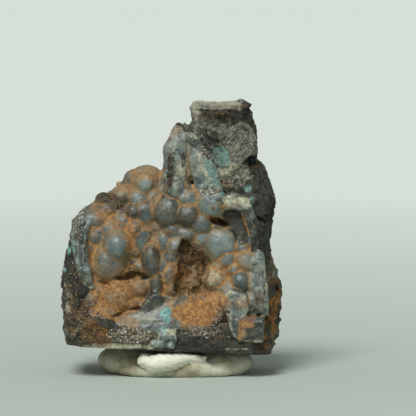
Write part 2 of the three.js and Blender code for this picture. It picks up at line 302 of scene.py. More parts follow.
def stoneMaterial(name, base, layers, gloss, bumps, flesh=0.0, streaks=None):
    # colour: the base ramp at tone mark + mottle * (noise at cloud + noise at cloud / 4 - 1) + streaks,
    # then each layer over it where its mark + ragged * (noise at grit - 0.5) passes 0.5, within soft
    # height: the noises of bumps, each times its share, and the streaks
    # sizes are in mm, and real grit is finer: it is as coarse here as it needs to show
    material = bpy.data.materials.new(name)
    material.use_nodes = True
    tree = material.node_tree
    shader = tree.nodes["Principled BSDF"]
    coords = addNode(tree, "TexCoord").outputs["Object"]
    grits = [layer["grit"] * part for layer in layers.values() for part in (1, 1.7)]
    noiseOf = {}
    for size in sorted({base["cloud"], base["cloud"] / 4, *bumps["sizes"], *grits}):
        settings = {"Vector": coords, "Scale": 1 / (size * mm), "Detail": 4.0, "Roughness": 0.6}
        noiseOf[size] = addNode(tree, "TexNoise", settings).outputs["Fac"]
    clouds = {0: noiseOf[base["cloud"]], 1: noiseOf[base["cloud"] / 4]}
    cloud = addNode(tree, "Math", clouds, operation="ADD").outputs[0]
    mottle = {0: cloud, 1: base["mottle"], 2: -base["mottle"]}
    mottled = addNode(tree, "Math", mottle, operation="MULTIPLY_ADD").outputs[0]
    toneMark = addNode(tree, "Attribute", attribute_name="tone").outputs["Fac"]
    tone = addNode(tree, "Math", {0: toneMark, 1: mottled}, operation="ADD").outputs[0]
    height = 0.0
    if streaks:
        placed = {"Vector": coords, "Rotation": (0, radians(streaks["turn"]), 0),
                  "Scale": [size * mm for size in streaks["sizes"]]}
        drawn = addNode(tree, "Mapping", placed, vector_type="TEXTURE").outputs[0]
        lines = addNode(tree, "TexNoise", {"Vector": drawn, "Scale": 1.0, "Detail": 3.0}).outputs["Fac"]
        centred = addNode(tree, "Math", {0: lines, 1: 0.5}, operation="SUBTRACT").outputs[0]
        streakMark = addNode(tree, "Attribute", attribute_name="streaks").outputs["Fac"]
        strong = addNode(tree, "Math", {0: centred, 1: streakMark}, operation="MULTIPLY").outputs[0]
        drawnTone = {0: strong, 1: streaks["tone"], 2: tone}
        tone = addNode(tree, "Math", drawnTone, operation="MULTIPLY_ADD").outputs[0]
        height = addNode(tree, "Math", {0: strong, 1: streaks["height"]}, operation="MULTIPLY").outputs[0]
    ramped = addNode(tree, "ValToRGB", {"Fac": tone})
    stops = ramped.color_ramp.elements
    for _ in base["colours"][2:]:
        stops.new(0.5)
    for i, code in enumerate(base["colours"]):
        stops[i].position = i / (len(base["colours"]) - 1)
        stops[i].color = linear(code)
    colour = ramped.outputs["Color"]
    rough = base["rough"]
    for label, layer in layers.items():
        where = addNode(tree, "Attribute", attribute_name=label).outputs["Fac"]
        ragged = {0: noiseOf[layer["grit"]], 1: layer["ragged"], 2: -0.5 * layer["ragged"]}
        offset = addNode(tree, "Math", ragged, operation="MULTIPLY_ADD").outputs[0]
        edge = addNode(tree, "Math", {0: where, 1: offset}, operation="ADD").outputs[0]
        span = {"Value": edge, "From Min": 0.5 - layer["soft"], "From Max": 0.5 + layer["soft"]}
        amount = addNode(tree, "MapRange", span).outputs[0]
        shade = {"Value": noiseOf[layer["grit"] * 1.7], "From Min": 0.35, "From Max": 0.65}
        share = addNode(tree, "MapRange", shade).outputs[0]
        tints = {"Fac": share, "Color1": linear(layer["dark"]), "Color2": linear(layer["light"])}
        tint = addNode(tree, "MixRGB", tints).outputs[0]
        colour = addNode(tree, "MixRGB", {"Fac": amount, "Color1": colour, "Color2": tint}).outputs[0]
        rough = addNode(tree, "Mix", {"Factor": amount, "A": rough, "B": layer["rough"]}).outputs[0]
    for size, share in bumps["sizes"].items():
        raised = {0: noiseOf[size], 1: share, 2: height}
        height = addNode(tree, "Math", raised, operation="MULTIPLY_ADD").outputs[0]
    bump = addNode(tree, "Bump", {"Height": height, "Strength": 1.0, "Distance": bumps["depth"] * mm})
    tree.links.new(colour, shader.inputs["Base Color"])
    tree.links.new(rough, shader.inputs["Roughness"])
    tree.links.new(bump.outputs["Normal"], shader.inputs["Normal"])
    shader.inputs["IOR"].default_value = 1.54  # quartz, and near enough for the rock and the putty
    shader.inputs["Specular IOR Level"].default_value = gloss
    if flesh:
        shader.inputs["Subsurface Weight"].default_value = flesh
        shader.inputs["Subsurface Radius"].default_value = (1.0, 1.15, 1.1)
        shader.inputs["Subsurface Scale"].default_value = 0.9 * mm
    return material


# What lies on the stones: dry rusty dust, shattuckite, black film, cream quartz, rust, clay and olive stain
# the black film, rust and dust layers also carry painted shade in hollows, creases and gaps
dustLayer = {"dark": "#875930", "light": "#c49452", "grit": 0.55, "ragged": 1.2, "soft": 0.46, "rough": 0.95}
blueLayer = {"dark": "#4e807f", "light": "#98bfb2", "grit": 0.5, "ragged": 1.5, "soft": 0.25, "rough": 0.75}
blackFilmAndShadeLayer = {"dark": "#171812", "light": "#3b3b2e", "grit": 0.5, "ragged": 1.2, "soft": 0.2, "rough": 0.55}
creamLayer = {"dark": "#8f8c6e", "light": "#c8c6ac", "grit": 0.6, "ragged": 1.2, "soft": 0.3, "rough": 0.7}
rustLayer = {"dark": "#2c1b0e", "light": "#9c6a31", "grit": 0.8, "ragged": 1.4, "soft": 0.28, "rough": 0.9}
clayLayer = {"dark": "#5c4c30", "light": "#93805a", "grit": 0.6, "ragged": 1.2, "soft": 0.46, "rough": 0.9}
stainLayer = {"dark": "#605b3e", "light": "#897f58", "grit": 2.2, "ragged": 1.5, "soft": 0.6, "rough": 0.5}

# Chalcedony: fine fibrous quartz in rounded skins, waxy, milky and grey-blue, with rusty clay in its seams
chalcedony = stoneMaterial(
    "waxyChalcedony",
    {"colours": ("#262e2d", "#4c5a59", "#728180", "#a2ada0"), "cloud": 2.2, "mottle": 0.5, "rough": 0.34},
    {"stain": stainLayer, "pale": creamLayer, "dark": blackFilmAndShadeLayer, "clay": clayLayer, "dust": dustLayer,
     "turquoise": blueLayer, "rust": rustLayer},
    0.6, {"sizes": {1.4: 0.6, 0.5: 0.4}, "depth": 0.24}, flesh=0.45,
    streaks={"turn": 0, "sizes": (0.6, 0.6, 2.4), "tone": 0.9, "height": 0.5})

# Matrix: dark iron-rich rock, broken by hand, dull and gritty, with tan clay and rust on its faces
brokenRock = stoneMaterial(
    "brokenRock",
    {"colours": ("#1c1d18", "#3f3f35", "#6f7164", "#a5a592"), "cloud": 0.9, "mottle": 1.4, "rough": 0.7},
    {"pale": creamLayer, "dust": dict(dustLayer, dark="#573c1f", light="#98713f"), "rust": rustLayer,
     "dark": blackFilmAndShadeLayer, "turquoise": blueLayer},
    0.45, {"sizes": {1.6: 0.45, 0.7: 0.35, 0.3: 0.2}, "depth": 1.0},
    streaks={"turn": 40, "sizes": (0.3, 0.3, 2.2), "tone": 1.25, "height": 1.6})
print("stones' materials made")

# Matrix

markNames = ("dust", "rust", "dark", "pale", "turquoise")  # each is painted from a list of patches

rock = {
    "voxel": 0.42,  # mm
    "chips": {5.5: 0.5, 2.6: 0.3},  # size of the broken facets: how far they stand, mm
    "grains": {1.6: 0.2, 0.9: 0.14},
    "sawnHeight": 6.7,
    "sawnSlope": -0.047,
    "drawnIn": 0.3,  # keeps the relief inside the solid, mm
    # runs of ridges: their zone as axes with where it starts and is full, the way they follow each other,
    # their spacing and height in mm, and how far they wander, over what size and noise layer
    "ridges": {
        "horn": {"zone": [("z", 51, 53), ("z", 63.6, 63), ("x", 8, 10), ("y", 0, -3)], "way": (0.78, 0, 0.62),
                 "spacing": 1.15, "height": 0.12, "wander": (0.8, 3.2, 3)},
        "cap": {"zone": [("z", 63.2, 63.8), ("y", 3, 0)], "way": (0.12, 0, 1),
                "spacing": 1.6, "height": 0.2, "wander": (0.6, 4, 2)},
        "flank": {"zone": [("x", 20, 22.5), ("z", 27, 31), ("z", 52, 50)], "way": (0.5, 1, 0.12),
                  "spacing": 1.5, "height": 0.22, "wander": (0.6, 4, 1)},
    },
    "groove": {"at": 63.4, "wide": 0.3, "deep": 0.4},  # the line under the horn's cap
    "dent": {"at": (19.8, 52.9), "wide": (1.4, 0.9), "deep": 1.4},  # the notch at the horn's right foot
    "plainTone": 0.36,
    # patches on the front: x, z, half width, half height, tilt where there is one, strength
    "spotted": [(-22, 14, 7, 9, 1), (-24, 24, 4, 8, 0.8), (24, 16, 4, 10, 0.9)],
    "tone": {
        "horn": (13, 57.6, 10, 6.2, 0.84), "cap": (11, 67, 10, 1.5, 1.1),
        "capLeft": (5.6, 65.6, 1.8, 2.4, 0.95), "below": (15.2, 49.8, 4.2, 3.2, 1.35),
        "rim": (-20, 41, 7, 1.6, -34, 0.66), "skirt": (-10, 10.6, 5.6, 2.2, 0.75),
    },
    "shade": {
        "flank": (-25, 22, 3, 11, 0.3), "left": (-22, 13, 5, 5, 0.24),
        "foot": (8, 8.6, 17, 1.7, 0.4), "strata": (23, 42, 3, 10, 0.2),
        "between": (9, 58, 2.6, 4, -30, 0.3), "capDark": (12.6, 65, 6, 0.9, 0.15),
        "capEnd": (19.4, 66, 2.2, 3, 0.6), "slope": (-16, 43.4, 5, 1.6, 30, 0.1),
    },
    "dust": [
        (-22.4, 12.6, 4, 4, 0.5), (-23, 17.4, 3, 2, 0.5), (-18.2, 12.2, 3.6, 1.2, 40, 0.9),
        (-25, 8.4, 3, 1.4, 0.55), (13.4, 47.6, 2, 1.4, 0.5), (8.6, 64, 5, 0.3, 0.5),
        (-17, 42.5, 6, 2, 30, 0.42), (5, 25, 5, 6, 0.5), (15, 66.6, 4, 0.5, 0.5), (24.6, 29, 1.4, 3, 0.4),
    ],
    "rust": [
        (25, 17, 1.9, 9, 0.85), (23.4, 12, 1.4, 4, 0.8), (18.6, 13, 1.8, 1.4, 0.5),
        (2.7, 26.4, 1.6, 2.4, 0.9), (20.6, 52, 1, 0.5, 0.7), (24.4, 44, 0.8, 3, 0.5),
    ],
    # dark: black film, and painted shade in the groove under the cap, the notch at the horn's foot, the
    # pocket and the gap between the horn and the tongue
    "dark": [
        (-25, 25.5, 1.8, 4.8, 0.8), (-24, 13.4, 2.6, 2, 20, 0.65), (-21, 16.4, 2, 1.4, 0.6),
        (22.6, 43, 2.8, 8, 0.7), (20, 65.5, 1.3, 2.4, 0.8), (12, 8.6, 12, 1, 0.75), (13, 13, 2.2, 3.2, 0.7),
        (19.8, 52.9, 1.2, 0.8, 1), (17.8, 47.2, 3, 1.6, 0.55), (5.4, 25.8, 3.6, 5, 0.6),
        (23.4, 32, 1, 6, 0.7), (8.4, 58.4, 2.6, 1.6, -40, 0.75), (10.8, 65, 4.6, 1, 0.75),
        (24.8, 21, 0.9, 2.4, 0.7), (23.8, 11.4, 0.8, 1.5, 0.8), (26.3, 14, 0.6, 4, 0.7),
    ],
    "pale": [
        (14.8, 50.8, 2.8, 1.8, 0.65), (15, 7.3, 5, 0.3, -3, 0.45), (-26, 17, 0.8, 1.4, 0.6),
        (-24.4, 12, 1.2, 0.5, 20, 0.6), (-26.4, 22.6, 0.6, 1.6, 0.6), (5.4, 65.6, 1.4, 1.8, 0.4),
        (-24, 38.6, 3, 0.7, -40, 0.8), (-13, 7.9, 13, 0.7, 0.6), (-25.6, 20, 0.8, 1, 0.5),
        (-18.6, 42, 5, 0.4, 35, 0.6),
    ],
    "turquoise": [
        (-27, 26, 0.8, 0.8, 0.9), (-26, 31, 0.9, 1.1, 1), (18.6, 46.4, 1, 1.2, 0.55),
        (12, 54.4, 2, 3, -30, 0.62), (19.4, 43.6, 0.8, 1, 0.6),
    ],
}


def sawnAt(points):  # height of the sawn base below each point
    return rock["sawnHeight"] + rock["sawnSlope"] * points[:, 0]


def mergedNode(name):  # a CAD node's loose triangles with their shared corners joined, in mm
    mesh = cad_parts[name].data
    corners = np.empty(len(mesh.loops), int)
    mesh.loops.foreach_get("vertex_index", corners)
    points, same = np.unique(np.round(arraysOf(mesh)[0] / mm, 3), axis=0, return_inverse=True)
    return points, same.reshape(-1)[corners].reshape(-1, 3)


def zoneMask(points, edges):  # the product of smooth steps along the axes
    steps = [ramp(points[:, "xyz".index(axis)], start, full) for axis, start, full in edges]
    return np.prod(steps, axis=0)


def matrixRelief(points):
    # how far it stands out: broken facets, grains and sine ridges in their zones, less a groove and a dent
    x, y, z = points.T
    lift = np.zeros(len(points))
    for noise, sizes in (chipNoise, rock["chips"]), (softNoise, rock["grains"]):
        for layer, (size, depth) in enumerate(sizes.items()):
            lift = lift + depth * noise(points, size, layer)
    zones, runs = {}, {}
    for name, run in rock["ridges"].items():
        far, size, layer = run["wander"]
        zones[name] = zoneMask(points, run["zone"])
        along = points @ run["way"] + far * softNoise(points, size, layer)
        runs[name] = np.sin(2 * np.pi * along / run["spacing"])
    lift = lift * (1 - 0.4 * zones["horn"]) - rock["drawnIn"]
    lift = lift + sum(run["height"] * zones[name] * runs[name] for name, run in rock["ridges"].items())
    groove, dent = rock["groove"], rock["dent"]
    line = bell(z - groove["at"] - 0.3 * softNoise(points, 3, 1), groove["wide"])
    line = line * zoneMask(points, [("y", 6, 2), ("x", 2, 4)])
    pit = bell(x - dent["at"][0], dent["wide"][0]) * bell(z - dent["at"][1], dent["wide"][1])
    lift = lift - groove["deep"] * line - dent["deep"] * pit * ramp(y, 0, -4)
    return lift, zones, runs, line


def matrixMarks(points, bare, lift, zones, runs, line):
    # tone: the lightest patch over soft noise, less the shades; marks: the patches, and clouds on the sides
    # bare: the points before their relief
    # the relief adds painted light and shade to the tone, and the groove gets painted shade as a dark mark
    x, y, z = bare.T
    tone = rock["plainTone"] + 0.25 * softNoise(points, 6, 1)
    speckle = 0.12 * softNoise(points, 1.4, 3)
    for patch in rock["tone"].values():
        tone = np.maximum(tone, patchMask(points, [patch], 30) + speckle)
    for patch in rock["shade"].values():
        tone -= patchMask(points, [patch], 6)
    marks = {name: patchMask(points, rock[name]) for name in markNames}
    sides = ramp(y, -6, 2)
    plain = np.maximum(sides, 0.5 * (1 - ramp(z, 20, 28)))  # away from the clean upper front
    spotted = patchMask(points, rock["spotted"])
    for mark, amount in (("dust", 0.55 * plain * clouded(points, 7, 2, 0.1, 0.8)),
                         ("dark", spotted * clouded(points, 2.6, 0, 0.15, 0.6)),
                         ("dust", 0.65 * spotted * clouded(points, 2.2, 1, 0.3, 0.8)),
                         ("rust", 0.6 * sides * clouded(points, 9, 3, 0.2, 0.8)),
                         # painted shade along the groove under the cap
                         ("dark", 0.45 * line)):
        marks[mark] = np.maximum(marks[mark], amount)
    marks["turquoise"] *= 1 - ramp(y, -5, -3) * ramp(-x, 22, 25)
    tone += 0.1 * zones["flank"] * runs["flank"] + 0.16 * zones["cap"] * runs["cap"]
    # painted light and shade: lighter where the relief stands out, darker in its hollows, the groove and the
    # dent
    marks["tone"] = tone + 0.4 * lift
    marks["streaks"] = np.maximum(zones["horn"], 0.3 * zones["cap"])
    return marks


def makeMatrix():
    # the CAD rock in one fine skin with its relief along the normals, and its sawn base kept flat
    mesh = skinned("matrixRock", *mergedNode("matrix"), rock["voxel"], 1)
    points, normals = arraysOf(mesh)
    lift, zones, runs, line = matrixRelief(points)
    clear = ramp(points[:, 2] - sawnAt(points), 0.2, 1.6)
    marked = points + normals * (lift * clear)[:, None]
    marked[:, 2] = np.maximum(marked[:, 2], sawnAt(marked) + 0.02)
    marks = matrixMarks(marked, points, lift, zones, runs, line)
    finished("matrixRock", mesh, marked, marks, brokenRock, ["matrix"])
    return marked, normals


skins = [makeMatrix()]

# Chalcedony crust

# Each lump: place x y z, radii x y z, power, tilt, tone from dark to pale, dust
# The first two are the slabs that the others stand on
slabs = 2
lumps = np.array([
    (-3.4, -4.6, 29, 19.6, 3.6, 17.4, 3.4, -3, 0.34, 0.2),
    (17, -7, 20, 5.6, 4, 12.4, 3.4, 0, 0.5, 0.4),
    (-6.4, -3, 46.6, 4.6, 5, 4.9, 2, 0, 0.55, 0.24),
    (-9.2, -2.8, 47.4, 2.4, 3.2, 2.8, 2.4, -20, 0.3, 0.1),
    (-3.4, -4, 46.6, 2.9, 3.4, 2.8, 2, 0, 0.5, 0.4),
    (-6.9, -6.6, 47.4, 2, 2.3, 2.3, 2, 0, 0.72, -0.1),
    (-8.4, -6.8, 43.6, 2.2, 2.4, 2.1, 2, 0, 0.55, 0.1),
    (-4.7, -6.2, 44, 1.9, 2.4, 2.2, 2, 0, 0.5, 0.35),
    (-12.4, -5.4, 43.8, 2.6, 3, 2.5, 2, 0, 0.35, 0.5),
    (-15.2, -5.8, 42.1, 3.4, 3.4, 1.9, 2, 28, 0.28, 0.3),
    (-13.4, -3.4, 46.2, 0.5, 0.8, 1.6, 2, -8, 0.4, 0.6),
    (-1.1, -8.2, 40.8, 3.7, 4.2, 3.9, 2, -24, 0.2, -0.1),
    (-3.6, -7.6, 41.6, 1.7, 3.2, 3.2, 2, 0, 0.3, 0.35),
    (3.9, -8.4, 43.4, 2.7, 3.4, 2.7, 2, 0, 0.48, 0.3),
    (9.6, -9.2, 42.4, 3.4, 3.8, 3.4, 2, 0, 0.52, 0),
    (3.9, -9.5, 40, 2.5, 3.3, 2.5, 2.2, 0, 0.1, -0.1),
    (7.2, -9.2, 38, 2.3, 3.2, 2.3, 2.2, 0, 0.38, 0.1),
    (3.2, -8.3, 35.6, 3.4, 3, 1.8, 2, 6, 0.4, 0.45),
    (-6.9, -7.8, 39.8, 2.3, 3, 2.9, 2, 0, 0.3, 0),
    (-12.2, -7.8, 38.2, 2.4, 2.8, 2.6, 2, 0, 0.5, 0.35),
    (-16, -6.8, 41, 2.6, 3, 2, 2, 0, 0.3, 0.5),
    (-19.4, -8.2, 38.8, 2.7, 3.2, 1.9, 2, 0, 0.42, 0.12),
    (-19, -8.4, 34.6, 2.7, 3, 2.4, 2, 0, 0.35, 0.5),
    (-13.8, -9.8, 32.2, 3.2, 4.6, 3.6, 2, 0, 0.5, -0.05),
    (-15.6, -9, 28.6, 4.3, 4.5, 5.4, 2, 8, 0.5, 0.3),
    (-7.5, -8.2, 33.8, 2.3, 3.2, 3.4, 2, 0, 0.28, 0.05),
    (-4.2, -7.6, 36.8, 2, 2.4, 1.5, 2, 0, 0.3, 0.5),
    (-2.2, -8, 33.2, 1.9, 3.2, 2.6, 2, 0, 0.42, 0.1),
    (-5.3, -8.9, 28.4, 1.8, 4.3, 4, 2.3, 0, 0.12, -0.1),
    (-9.8, -7.4, 28.4, 2.6, 3, 1.7, 2, 0, 0.3, 0.6),
    (-4.2, -9, 22.6, 1.5, 3.6, 3.4, 2.2, 0, 0.08, -0.1),
    (-13.8, -9.6, 19.6, 4.1, 4.9, 4.1, 2, 0, 0.5, 1),
    (-18, -9, 21, 2.2, 3.4, 2.4, 2, 0, 0.5, 1),
    (-8.2, -8.8, 21.8, 2.4, 3.8, 2.2, 2, 0, 0.3, 0.9),
    (-9.4, -10.4, 17.3, 2.4, 2.9, 2.2, 2, 0, 0.4, 1),
    (-15.8, -11, 15.8, 3.4, 3.6, 3.1, 2, 0, 0.4, 0.9),
    (11.9, -8, 32.6, 4.4, 4.4, 4.9, 2.2, -24, 0.62, 0),
    (8, -8.6, 34.4, 2.6, 2.9, 2.2, 2, 0, 0.66, 0.2),
    (13.4, -8.8, 29.4, 2.4, 3.4, 2.6, 2, 0, 0.7, 0.15),
    (10.4, -9.4, 24.4, 2.5, 3.8, 2.4, 2, 0, 0.92, 0.75),
    (16.8, -10.6, 23.8, 2, 3.4, 2.2, 2, 0, 0.3, 0),
    (18.4, -10.2, 28.6, 2.5, 3.4, 2.3, 2, 0, 0.55, 0.4),
    (15.6, -10, 26.6, 1.8, 2.6, 1.6, 2, 0, 0.6, 0.5),
    (13.4, -10, 21.6, 2.4, 3, 2.4, 2, 0, 0.6, 0.6),
    (8, -9.6, 16, 6.4, 4, 4.6, 2.2, 0, 0.5, 1),
    (-18.6, -12, 13.4, 4.6, 3.6, 3.2, 2, -20, 0.3, 0.8),
    (-19.8, -9.6, 18, 2.6, 3.4, 3.4, 2, 0, 0.1, 0.5),
    (2.2, -9, 27, 1.6, 2.4, 4.6, 2, 6, 0.05, 0.3),
    (-0.6, -9.6, 25, 1.7, 2.8, 3, 2, 0, 0.3, 0.7),
])
crust = {
    "voxel": 0.3,  # mm
    "fullness": 1.28,  # swells the small lumps against each other
    "bigness": (2.8, 4.4, 0.18),  # radii from and to which larger lumps swell less, mm, and how much less
    "seam": 0.17,  # width of the clay lines in the seams, mm
    "skirt": 0.8,  # width of the thin dust beside them
    "darts": 5000,  # tries at placing a small lump in a free spot
    "dartZone": (-22, 19.5, 16.5, 47),
    "dartSizes": (2.1, 0.5),
    "dartDepth": -8.3,
    "field": (-1, 31, 21.5, 17.5),  # the ellipse that holds the small lumps: x, z, half width, half height
    "bare": [(4.8, 25.6, 5.2, 6.6), (16, 37.6, 3.4, 4.6)],  # none in the pocket and the recess
    "pocket": [(4, 26, 4.6, 7.4, 1)],
    "crevice": [(-10, 25.4, 4.4, 2.2, 1)],
    "slope": [(-14, 41.5, 7, 4, 30, 0.2)],  # painted shade: darker lumps on the upper left
    "halo": (0.74, 0.07, 0.16),  # line of dust on a lump's front: where and how wide, in radii; strength
    "dust": [
        (-10.5, 34.5, 1.4, 4.4, 0.85), (-20.2, 35.6, 2, 2, 0.55), (-20.6, 28, 1.2, 4.5, 0.85),
        (-14, 20.4, 5.6, 4.4, 0.8), (-6, 37.4, 3, 1.2, 0.5), (-15.4, 40.4, 2.2, 1, 0.7),
        (-15.5, 38.4, 5, 1.8, 20, 0.55), (5.6, 15.6, 6.4, 4, 0.9), (10.4, 25.8, 2.4, 1.5, 0.6),
        (17, 28, 3, 1.6, 0.45), (-9, 17, 3, 2, 0.8), (14, 22, 2, 2.4, 0.5), (-2.4, 20.6, 2.6, 1, -30, 0.7),
        (-6.4, 49, 4, 1, 0.45),
    ],
    # rust: real rust, and at x 11.8, z 38.4 painted shade as the dark red-brown of a deep gap between lumps
    "rust": [
        (2.6, 25.4, 1.8, 2.6, 0.85), (-20.6, 27.4, 0.8, 4.4, 0.6), (11.8, 38.4, 3, 1, 20, 0.9),
        (10.1, 41.9, 0.5, 0.5, 0.8), (7.7, 55.2, 0.5, 0.4, 0.9), (-0.6, 35.8, 0.9, 0.5, 0.8),
    ],
    # dark: black film, and painted shade in the crevice, the pocket and the deep gap between lumps at x 11.6
    "dark": [
        (-11, 25.4, 3.4, 1.6, 0.5), (-15, 43.4, 3.6, 1.2, 28, 0.5), (-6.5, 25.6, 1.4, 1.2, 0.7),
        (12.8, 17.4, 1.4, 1.8, 0.6), (11.6, 38.4, 2.4, 0.8, 20, 0.7), (15.8, 37.4, 2.2, 3.4, -24, 0.5),
        (4, 31, 3.4, 2.6, 0.9), (1.2, 24, 1.8, 4.6, 0.85), (7, 20.4, 3.4, 1.2, 0.8),
    ],
    "pale": [(10.2, 24.7, 1.9, 2, 0.6)],
    "turquoise": [(-1.6, 15.4, 1.5, 2.1, 0.95)],
    "clean": [(-15.4, 43, 4.2, 1.6, 28, 0.85), (-16, 19.8, 1, 1.3, 0.7)],  # less dust here
}


def smallRows():
    # seeded darts, large to small: one is kept where it hardly reaches into the lumps already there
    count = crust["darts"]
    low, high, foot, top = crust["dartZone"]
    x, z = chance.uniform(low, high, count), chance.uniform(foot, top, count)
    size = np.geomspace(*crust["dartSizes"], count)
    spots = np.column_stack((x, 0 * x, z))
    allowed = ellipseFar(spots, *crust["field"]) < 1
    for ellipse in crust["bare"]:
        allowed &= ellipseFar(spots, *ellipse) > 1
    held = lumps[slabs:, [0, 2, 3]].copy()
    held[:, 2] = lumps[slabs:, [3, 5]].mean(1)
    for dart in np.column_stack((x, z, size))[allowed]:
        room = np.hypot(held[:, 0] - dart[0], held[:, 1] - dart[1]) - held[:, 2]
        if room.min() > 0.2 * dart[2]:
            held = np.vstack((held, dart))
    x, z, size = held[len(lumps) - slabs:].T
    depth = crust["dartDepth"] - 0.35 * size + chance.uniform(-0.5, 0.5, len(x))
    spots = np.column_stack((x, depth, z))
    shape = np.column_stack((size, 1.25 * size, size)) * chance.uniform(0.9, 1.15, (len(x), 3))
    dusty = np.clip(0.02 + 0.7 * patchMask(spots, crust["dust"]) + chance.uniform(-0.1, 0.35, len(x)), 0, 1)
    tone = chance.uniform(0.2, 0.62, len(x))
    return np.column_stack((spots, shape, np.full(len(x), 2.0), 0 * x, tone, dusty))


# The pocket, the crevice and the creases, cut out of the lumps: place, radii, power, tilt
pocketHollow = np.array([
    (4.6, -10.6, 26.4, 3.6, 3.4, 5.4, 2, 0), (3, -10.8, 23.6, 2.8, 3.2, 4.4, 2, 12),
    (5.6, -10.8, 21.4, 3.2, 3, 2.2, 2, 0), (3.2, -10.8, 31.4, 2.4, 3, 2.2, 2, -10),
    (-9.6, -11.8, 25.2, 2.6, 3.4, 1.2, 2.3, -8),
    (-12.4, -12, 24.5, 2.4, 3, 0.8, 2, 10), (-7, -11.4, 24.6, 1.6, 3.2, 0.9, 2, -20),
    (-17, -12.6, 23.2, 2.2, 2.6, 0.5, 2, 16), (-13, -14.2, 15.7, 2.6, 2.2, 0.5, 2, -18),
    (-9.6, -13.4, 17, 2, 2.2, 0.5, 2, -6), (2.7, -12, 33.5, 0.9, 5, 0.9, 2, 0),
    (11.6, -11.4, 38.2, 2.8, 4.4, 0.9, 2, 17), (7.8, -11, 27, 1.2, 3.4, 2.6, 2, 0),
], float)


# Broken plates at the rim: front and back, tone, how far it leans back, how square its rounded front is, how
# strong its fibres are, how pale its edge is, how chipped it is, and its outline in the front view
plateParts = ("front", "back", "tone", "lean", "pillow", "streaks", "edge", "chips", "outline")
plateRows = {
    "leftRind": (-13.6, -7, 0.34, 0.08, 5, 1.3, 0.5, 1, [
        (-24.8, 38.8), (-25.2, 33.6), (-24.3, 29.3), (-23.3, 24.5), (-21.9, 21.6), (-19.1, 21.9),
        (-20.4, 27.3), (-21.2, 33.6), (-20.2, 37.9), (-22.2, 40.4),
    ]),
    "leftTongue": (-10.2, -4, 0.5, 0.05, 3, 0.9, 0.4, 0.8, [
        (-2.3, 56.8), (-2.4, 49.1), (-1, 45.6), (2.2, 43.8), (4.5, 46.8), (4, 52), (3.4, 56), (3.1, 59.8),
        (2.4, 61.4), (0.6, 62), (-1, 58.7),
    ]),
    "rightTongue": (-11, -5, 0.62, 0.06, 3, 0.7, 0.5, 0.8, [
        (3.6, 59.4), (3.6, 55.3), (4.7, 49.6), (6.8, 44.9), (9.9, 43.8), (12.7, 45.4), (11.2, 50.6),
        (9.3, 54.6), (6.4, 58.4),
    ]),
    "topBlade": (-10.6, -5, 0.5, 0.04, 8, 0.5, 0.6, 0.8, [
        (3.2, 60.4), (4.8, 60.2), (7, 57.6), (9.8, 54.6), (8.4, 54.2), (5.4, 56.8), (3.4, 58.4),
    ]),
    "rightEdge": (-11.9, -6, 0.2, 0, 4, 0.6, 0.3, 1, [
        (10.8, 44.4), (14.7, 45.6), (19.4, 44), (20.9, 38), (21.6, 32), (19.7, 32.4), (18.2, 36.8),
        (16.8, 41.2), (14.7, 42.4), (11.4, 41.4),
    ]),
    "recess": (-10, -5, -0.2, 0.06, 9, 0.3, 0.1, 0.15, [
        (13.2, 41.6), (17.6, 41), (19, 37.6), (18.4, 33.4), (16.4, 32.8), (14, 37.2), (12.2, 39.6),
    ]),
    "rightBlade": (-13.5, -7, 0.46, 0.04, 6, 1.2, 0.25, 1, [
        (20.6, 32.3), (21.6, 31.7), (22.6, 30), (23.2, 24.8), (23.8, 18.8), (23.7, 14.8), (21, 15.8),
        (18.4, 15.4), (18.6, 20.7), (18.8, 24.6), (19.6, 27.6),
    ]),
    "lowerBlade": (-17, -9, -0.08, 0, 9, 0.6, 0.3, 1, [
        (17, 15.2), (22.6, 14.8), (22.5, 8.8), (16.2, 9),
    ]),
    "whiteBlade": (-16.8, -9, 0.5, 0.1, 8, 0.4, 0.9, 1, [
        (11.2, 19.6), (13.6, 15.4), (14.4, 10.8), (15.8, 9), (16.9, 14.2), (19, 17), (18.2, 20.6),
        (14.7, 22),
    ]),
    "ledgeSkin": (-17, -10, 0.48, 0.35, 4, 0.1, 0.3, 0.6, [
        (-15, 12.8), (-13.6, 14.6), (-11.6, 15.6), (-8.5, 16.3), (-5, 16.6), (-2.2, 18.7), (1.2, 19.4),
        (1.4, 17.1), (1.2, 12), (-4.9, 10.6), (-10.2, 11.4),
    ]),
    "glassWedge": (-14.6, -9, 0.05, 0, 8, 0.2, 0.5, 0.3, [
        (-8.6, 16), (-7.4, 18.2), (-5, 20.9), (-3.5, 21), (-2, 19.4), (-4, 16.4), (-6, 15.6),
    ]),
    "ledgeTop": (-17, -9, 0.4, 0.5, 3.4, 0, 0, 0.35, [
        (-1, 18.2), (2.4, 19.6), (5.4, 19), (8.8, 20.6), (12.4, 22), (13.4, 19), (13, 15.4), (10.8, 12.6),
        (6, 10.6), (0.6, 11.4), (-1, 14),
    ]),
    "shellPiece": (-17.6, -11, 0.55, 0.15, 6, 0.3, 0.7, 1, [
        (-6.4, 8.6), (-2.5, 11.8), (0.4, 12.3), (1.4, 10), (0.6, 7.4), (-4.9, 7.4),
    ]),
}
plates = {name: dict(zip(plateParts, row)) for name, row in plateRows.items()}
